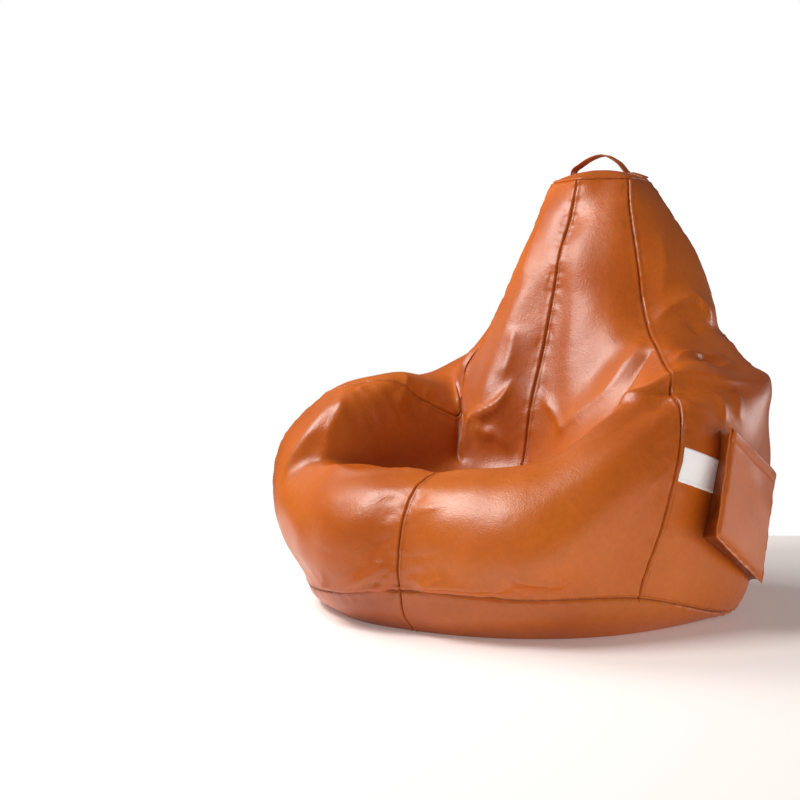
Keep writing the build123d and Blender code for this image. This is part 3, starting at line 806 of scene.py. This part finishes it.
def ribbon(path, across, width, thickness, closed=False):
    """Points and faces of a rounded flat section carried along a path, its width along across."""
    path, across = np.asarray(path, float), unit(np.asarray(across, float))
    if closed:
        along = unit(np.roll(path, -1, axis=0) - np.roll(path, 1, axis=0))
    else:
        along = unit(np.gradient(path, axis=0))
    up = unit(np.cross(along, across))
    turn = np.linspace(0, 2 * math.pi, 20, endpoint=False)
    wide = np.sign(np.cos(turn)) * np.abs(np.cos(turn)) ** 0.35 / 2
    high = np.sign(np.sin(turn)) * np.abs(np.sin(turn)) ** 0.7 / 2
    width = np.broadcast_to(width, len(path))[:, None, None]
    points = (
        path[:, None]
        + across[:, None] * wide[None, :, None] * width
        + up[:, None] * high[None, :, None] * thickness
    )
    count = len(turn)
    faces = grid_faces(len(path), count, closed=True, flip=True)
    if closed:
        last = (len(path) - 1) * count
        for c in range(count):
            right = (c + 1) % count
            faces.append((last + right, right, c, last + c))
    else:
        faces.append(tuple(range(count)))
        faces.append(tuple((len(path) - 1) * count + c for c in range(count))[::-1])
    return points.reshape(-1, 3), faces


def sweep(name, path, across, width, thickness, material, body):
    """A strap-like piece: a ribbon along a path."""
    points, faces = ribbon(path, across, width, thickness)
    return new_piece(name, points, faces, material, body)


def walk(path, normals, pitch, start=0.5):
    """Evenly spaced places along a path, with the path's run and its normal at each."""
    path, normals = np.asarray(path, float), np.asarray(normals, float)
    gone = distances(path)
    at = np.arange(start * pitch, gone[-1] - 0.3 * pitch, pitch)

    def along(values, where):
        return np.stack([np.interp(where, gone, values[:, k]) for k in range(3)], axis=1)

    run = along(path, at + 0.4 * pitch) - along(path, at - 0.4 * pitch)
    return along(path, at), unit(run), unit(along(normals, at))


def stitches(name, runs, body, pitch=6.0 * MM, length=4.4 * MM, radius=0.55 * MM, thread=THREAD):
    """Rows of stitches, as one piece. Each run is a path and the surface's normals along it."""
    points, faces = [], []
    for path, normals in runs:
        middle, along, normal = walk(path, normals, pitch)
        side = np.cross(along, normal)
        for m, a, n, s in zip(middle, along, normal, side):
            first = len(points)
            points.append(m - a * length / 2 - n * radius * 0.6)
            for share, swell in ((-0.36, 0.8), (0.0, 1.0), (0.36, 0.8)):
                for k in range(6):
                    turn = k * math.pi / 3
                    out = (s * math.cos(turn) + n * math.sin(turn)) * radius * swell
                    points.append(m + a * length * share + out)
            points.append(m + a * length / 2 - n * radius * 0.6)
            for k in range(6):
                right = (k + 1) % 6
                faces.append((first, first + 1 + right, first + 1 + k))
                for ring in (1, 7):
                    faces.append((first + ring + k, first + ring + right,
                                  first + ring + 6 + right, first + ring + 6 + k))
                faces.append((first + 19, first + 13 + k, first + 13 + right))
    return new_piece(name, points, faces, thread, body)


def build_seam_stitches(gores, cap):
    """The row of stitches beside each long seam, the base seam and the cap's rim."""
    runs = []
    for grid, normal in gores.values():
        runs.append((grid[1:-1, 4], normal[1:-1, 4]))
        runs.append((grid[-2], normal[-2]))
    for ring, normal in cap:
        runs.append((ring, normal))
    stitches("seam_stitches", runs, "bag")


def build_seam_lines(gores):
    """The turned-in edges at the bottom of the gores' seams and of the base seam, in a darker copy
    of the leather: painted shade of the seam grooves.
    """
    runs = []
    for grid, normal in gores.values():
        runs.append((grid[:, 0], grid[:, 1] - grid[:, 0], normal[:, 0], False))
    edge = np.concatenate([grid[-1, :-1] for grid, _ in gores.values()])
    out = np.concatenate([normal[-1, :-1] for _, normal in gores.values()])
    runs.append((edge, np.tile((0.0, 0.0, 1.0), (len(edge), 1)), out, True))
    points, faces = [], []
    for path, across, normal, closed in runs:
        lifted = path + normal * 0.3 * MM
        more, around = ribbon(lifted, across, 2.6 * MM, 1.8 * MM, closed)
        first = len(points)
        points += list(more)
        faces += [tuple(first + v for v in face) for face in around]
    new_piece("seam_lines", points, faces, SEAM_GROOVE_SHADE, "bag")


STRAP_Y = 0.340  # the line across the cap that the strap lies on
STRAP_WIDTH = 25 * MM
STRAP_THICKNESS = 3.4 * MM


def build_strap(skin):
    """The carry strap: stitched flat to the cap at its feet, with a loose low loop between."""

    def on_cap(x):
        place, _ = skin.hit((x * MM, STRAP_Y, 1.2), (0, 0, -1))
        return (x, place[2] / MM + 2.2)

    profile = [on_cap(x) for x in (-98, -90, -82, -76)]
    profile += [(-70, 842), (-56, 851), (-36, 862), (-14, 869), (4, 868), (20, 860), (34, 850)]
    profile += [on_cap(x) for x in (50, 60, 72, 84, 92)]
    profile = np.array([(x, 0, z) for x, z in profile])
    line = smooth_curve(profile, np.linspace(0, len(profile) - 1, 120)) * MM
    line[:, 1] = STRAP_Y + 1.5 * MM * np.sin(line[:, 0] / (30 * MM))
    across = np.tile((0.0, 1.0, 0.0), (len(line), 1))
    across[:, 2] = 0.10 * np.sin(line[:, 0] / (45 * MM))
    strap = sweep("carry_strap", line, across, STRAP_WIDTH, STRAP_THICKNESS, STRAP_LEATHER, None)
    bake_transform(strap)
    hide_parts("handle_strap", "handle_sewn_ends")
    along = unit(np.gradient(line, axis=0))
    up = unit(np.cross(along, unit(across)))
    up *= np.sign(up[:, 2:3])
    edges = [(line + unit(across) * side * 9.6 * MM + up * 1.75 * MM, up) for side in (-1, 1)]
    rows = stitches("strap_stitches", edges, None, 5 * MM, 3.6 * MM, 0.5 * MM)
    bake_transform(rows)
    # a stitched box and cross on each foot
    boxes = []
    for low, high in ((2, 22), (98, 117)):
        corners = []
        for index, side in ((low, -1), (low, 1), (high, -1), (high, 1)):
            out = unit(across)[index] * side * 9.0 * MM
            corners.append(line[index] + out + up[index] * 1.8 * MM)
        for a, b in ((0, 1), (2, 3), (0, 3), (1, 2)):
            share = np.linspace(0, 1, 12)[:, None]
            edge = corners[a] * (1 - share) + corners[b] * share
            boxes.append((edge, np.tile(up[low], (12, 1))))
    stitches("strap_foot_stitches", boxes, "bag", 4.5 * MM, 3.2 * MM, 0.5 * MM)


# the pocket's face: mouth front, mouth rear, bottom rear, bottom front
POCKET_FACE = np.array([(448, -65, 348), (448, 143, 250), (448, 86, 67), (448, -119, 174)]) * MM
# where its gusset meets the bag, in the same order; the cover gives x
POCKET_FOOT = np.array([(0, -38, 343), (0, 152, 250), (0, 98, 62), (0, -72, 162)]) * MM
POCKET_WIDTH, POCKET_DEPTH = 230, 190  # mm, along the mouth and down from it
OUT = np.array([1.0, 0.0, 0.0])  # the way the pocket faces


def between(corners, u, v):
    """Points between four corners: u runs along the mouth from the front, v down from it."""
    a, b, c, d = corners
    u, v = u[..., None], v[..., None]
    return (a * (1 - u) + b * u) * (1 - v) + (d * (1 - u) + c * u) * v


def pocket_face(u, v):
    """The stuffed, slightly rumpled face of the pocket, its seams pinched and its mouth slack."""
    full = np.sqrt(np.clip(4 * u * (1 - u), 0, 1)) * np.sqrt(np.clip(1 - v, 0, 1))
    rise = 7.0 * full * (0.55 + 0.45 * np.minimum(1.0, 2.5 * v))
    rise += 1.3 * full * np.sin(9.0 * u + 5.0 * v) + 0.8 * full * np.sin(17.0 * v - 6.0 * u)
    edge = np.minimum(np.minimum(u, 1 - u) * POCKET_WIDTH, (1 - v) * POCKET_DEPTH)
    rise -= 3.2 * np.exp(-((edge / 6.0) ** 2))
    gather = np.sin(46.0 * u + 3.0 * np.sin(9.0 * v)) * np.sin(38.0 * v + 1.0)
    rise += 0.7 * gather * np.exp(-((edge / 9.0) ** 2))
    # the edges bow in a little between the corners
    bow = 0.022 * (v * (1 - v) * (2 * u - 1) ** 2)[..., None]
    middle = POCKET_FACE.mean(axis=0)
    flat = between(POCKET_FACE, u, v)
    return flat + (middle - flat) * bow * 4 + rise[..., None] * MM * OUT


def build_pocket(skin):
    """A patch pocket with a gusset round three sides, pinched seams and a rolled hem."""
    across, down = np.meshgrid(np.linspace(0, 1, 72), np.linspace(0, 1, 62))
    grid = pocket_face(across, down)
    face = grid_piece("pocket_face_leather", grid, POCKET_LEATHER)
    add_thickness(face, 1.6 * MM)
    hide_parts("pocket_face")

    # the three sewn edges, walked from the mouth's front corner to its rear one
    share = np.linspace(0, 1, 60)
    zero, one = np.zeros(60), np.ones(60)
    u = np.concatenate([zero, share[1:], one[1:]])
    v = np.concatenate([share, one[1:], share[::-1][1:]])
    edge = pocket_face(u, v)
    foot = between(POCKET_FOOT, u, v)
    normals = np.zeros_like(foot)
    for i, point in enumerate(foot):
        foot[i], normals[i] = skin.hit((0.6, point[1], point[2]), (-1, 0, 0))
    foot -= normals * 0.6 * MM
    # the wall runs from the face's edge down to the bag, and sags inward between them
    deep = np.linspace(0, 1, 12)[:, None, None]
    middle = foot.mean(axis=0)
    wall = edge * (1 - deep) + foot * deep
    inward = unit(middle - wall - OUT * ((middle - wall) @ OUT)[..., None])
    along = np.arange(len(u))[None, :, None]
    waves = 1 + 0.35 * np.sin(along / 5.0) + 0.2 * np.sin(along / 2.1)
    wall = wall + inward * (8.0 * np.sin(math.pi * deep) * waves) * MM
    # the gusset's leather carries painted shade, darker for the shadow in its fold
    gusset = grid_piece("pocket_gusset_leather", wall, GUSSET_SHADE_LEATHER)
    add_thickness(gusset, 1.6 * MM, 0.0)
    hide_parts("pocket_gusset")

    # the pinched seam that stands out from the sewn edges
    outward = unit((edge - POCKET_FACE.mean(axis=0)) * (0, 1, 1))
    outward = unit(outward + OUT * 0.25)
    wave = 0.5 * MM * np.sin(np.arange(len(u)) / 3.1)[:, None]
    line = edge + outward * (2.2 * MM) + OUT * wave - OUT * 0.6 * MM
    welt = sweep("pocket_welt_leather", line, outward, 6.0 * MM, 2.6 * MM, POCKET_LEATHER, "bag")
    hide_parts("pocket_welt")

    # the hem: leather rolled over the mouth's edge and stitched down
    section = [(19, 0.1), (18.6, 1.2), (12, 1.7), (6, 1.9), (2, 2.2), (-1.2, 1.8), (-2.6, -0.8),
               (-1.2, -3.2), (2, -3.6), (8, -3.4), (16, -3.0), (16.5, -1.0)]
    u = np.linspace(0.008, 0.992, 72)
    rows = []
    for depth, height in section:
        at = np.full(72, depth / POCKET_DEPTH)
        rows.append(pocket_face(u, np.maximum(at, 0)) + OUT * height * MM)
        if depth < 0:
            rows[-1] += unit(POCKET_FACE[0] - POCKET_FACE[3]) * -depth * MM
    hem = grid_piece("pocket_hem_leather", np.array(rows), POCKET_LEATHER, flip=True)
    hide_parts("pocket_hem")

    hem_row = pocket_face(u, np.full(72, 15.0 / POCKET_DEPTH)) + OUT * 1.5 * MM
    runs = [(hem_row, np.tile(OUT, (72, 1)))]
    inner = np.linspace(0.03, 0.975, 60)
    low = np.full(60, 0.975)
    for a, b in ((np.full(60, 0.022), inner), (inner, low), (np.full(60, 0.978), inner)):
        runs.append((pocket_face(a, b) + OUT * 0.1 * MM, np.tile(OUT, (60, 1))))
    stitches("pocket_stitches", runs, "bag", 5.2 * MM, 3.8 * MM, 0.5 * MM)


# the label's corners beside the side panel: top front, top rear, bottom rear, bottom front
LABEL = np.array([(401, -128, 320), (430, -40, 290), (430, -57, 234), (400, -147, 264)]) * MM


def build_label(skin):
    """A plain white woven label with a stitched border, caught in the seam at its front edge."""
    toward = unit(np.array((-0.94, 0.33, 0.0)))

    def on_cover(u, v, lift):
        points = between(LABEL, u, v)
        normals = np.zeros_like(points)
        for index in np.ndindex(u.shape):
            hit, normals[index] = skin.hit(points[index] - toward * 0.1, toward)
            points[index] = hit + normals[index] * lift
        return points, normals

    u, v = np.meshgrid(np.linspace(0, 1, 40), np.linspace(0, 1, 28))
    points, normals = on_cover(u, v, 1.3 * MM)
    edge = np.minimum(np.minimum(u, 1 - u) * 90, np.minimum(v, 1 - v) * 57)
    border = 0.45 * (edge < 4.5) - 0.5 * np.exp(-((edge / 0.8) ** 2))
    curl = 1.6 * np.clip(u - 0.9, 0, 1) / 0.1 * (0.4 + 0.6 * np.abs(2 * v - 1))
    points += normals * (border + curl)[..., None] * MM
    label = grid_piece("label_patch", points, LABEL_CLOTH)
    add_thickness(label, 0.8 * MM)
    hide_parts("label")
    runs = []
    share = np.linspace(0.035, 0.965, 40)
    for a, b in (
        (share, np.full(40, 0.06)), (np.full(40, 0.965), share),
        (share[::-1], np.full(40, 0.94)), (np.full(40, 0.035), share),
    ):
        at, out = on_cover(a, b, 2.3 * MM)
        runs.append((at + out * 0.1 * MM, out))
    stitches("label_stitches", runs, "bag", 3.0 * MM, 2.2 * MM, 0.32 * MM, LABEL_CLOTH)


gores = build_gores()
cap, cap_rows = build_cap(np.concatenate([grid[0, :-1] for grid, _ in gores.values()]))
build_base(np.concatenate([grid[-1, :-1] for grid, _ in gores.values()]))
build_inside()
skin = Skin(list(gores) + [cap])
build_seam_stitches(gores, cap_rows)
build_seam_lines(gores)
build_strap(skin)
build_pocket(skin)
build_label(skin)

for node, material in {
    "zip_tape_left": ZIP_TAPE, "zip_tape_right": ZIP_TAPE, "zip_coil_left": ZIP_COIL,
    "zip_coil_right": ZIP_COIL, "zip_end_stops": BRASS, "zip_slider": BRASS, "zip_pull": BRASS,
    "inner_bag_zip": INNER_CLOTH,
}.items():
    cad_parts[node].data.materials.clear()
    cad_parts[node].data.materials.append(material)


# ---------------------------------------------------------------- stage, light and camera
VIEWPOINT = Vector((1.380, -2.390, 0.550))
LOOK = Vector((-0.56975, 0.81948, -0.06195))
FLOOR_RADIUS = 3.1
FLOOR_BEHIND = 0.82  # where the floor ends, behind the chair
FLOOR_GLOW = 0.16  # a little light of its own, so that it stays pale


def build_stage():
    """A pale floor that ends behind the chair, square to the line of sight."""
    floor_material, _, _, shader = new_material("pale_floor")
    set_inputs(shader, {
        "Base Color": (0.90, 0.84, 0.81, 1),
        "Roughness": 0.6,
        "Emission Color": (1.0, 0.93, 0.90, 1),
        "Emission Strength": FLOOR_GLOW,
    })
    away = Vector((-0.5, 0.866, 0.0))
    side = Vector((0.866, 0.5, 0.0))
    corners = []
    for turn in np.linspace(0, 2 * math.pi, 96, endpoint=False):
        near = min(FLOOR_RADIUS * math.cos(turn), FLOOR_BEHIND)
        corners.append(away * near - side * FLOOR_RADIUS * math.sin(turn))
    faces = [tuple(range(len(corners)))]
    floor = new_piece("floor", corners, faces, floor_material, None, smooth=False)


def area_light(name, position, target, size, power, colour=(1, 1, 1), glossy=True):
    light = bpy.data.lights.new(name, "AREA")
    light.shape = "RECTANGLE"
    light.size, light.size_y = size
    light.energy = power
    light.color = colour
    lamp = bpy.data.objects.new(name, light)
    lamp.location = position
    lamp.visible_camera = False
    lamp.visible_glossy = glossy
    lamp.rotation_euler = (Vector(target) - Vector(position)).to_track_quat("-Z", "Y").to_euler()
    bpy.context.scene.collection.objects.link(lamp)


def from_round(azimuth, elevation, distance):
    """A place round the chair: azimuth from the front towards +X, in degrees."""
    turn, rise = math.radians(azimuth), math.radians(elevation)
    flat = distance * math.cos(rise)
    return (flat * math.sin(turn), -flat * math.cos(turn), 0.4 + distance * math.sin(rise))


def build_lights():
    """A dim room, white to the camera, with four soft boxes.

    The side and fill lights stay out of reflections, where they would make the leather milky.
    """
    world = bpy.data.worlds.new("studio")
    bpy.context.scene.world = world
    world.use_nodes = True
    nodes, links = world.node_tree.nodes, world.node_tree.links
    path = nodes.new("ShaderNodeLightPath")
    strength = nodes.new("ShaderNodeMapRange")
    set_inputs(strength, {"To Min": 0.09, "To Max": 1.0})
    links.new(path.outputs["Is Camera Ray"], strength.inputs["Value"])
    links.new(strength.outputs["Result"], nodes["Background"].inputs["Strength"])
    nodes["Background"].inputs["Color"].default_value = (1, 1, 1, 1)
    centre = (0, 0, 0.4)
    area_light("key", from_round(-37, 52, 3.0), centre, (1.4, 1.3), 88, (1.0, 0.975, 0.95))
    area_light("side", from_round(-92, 36, 3.2), centre, (2.2, 1.8), 96, glossy=False)
    area_light("fill", from_round(70, -5, 2.6), centre, (2.4, 0.4), 29, glossy=False)
    area_light("edge", from_round(144, 4, 3.0), (0.3, 0, 0.35), (1.1, 0.7), 12)


def build_camera():
    """A viewpoint a little above the seat, round towards the pocket's side."""
    camera = bpy.data.cameras.new("camera")
    camera.sensor_width = 36.0
    camera.lens = 65.25
    camera.clip_start = 0.05
    view = bpy.data.objects.new("camera", camera)
    view.location = VIEWPOINT
    view.rotation_euler = LOOK.to_track_quat("-Z", "Y").to_euler()
    bpy.context.scene.collection.objects.link(view)
    bpy.context.scene.camera = view


build_stage()
build_lights()
build_camera()
scene = bpy.context.scene
scene.view_settings.view_transform = "Standard"
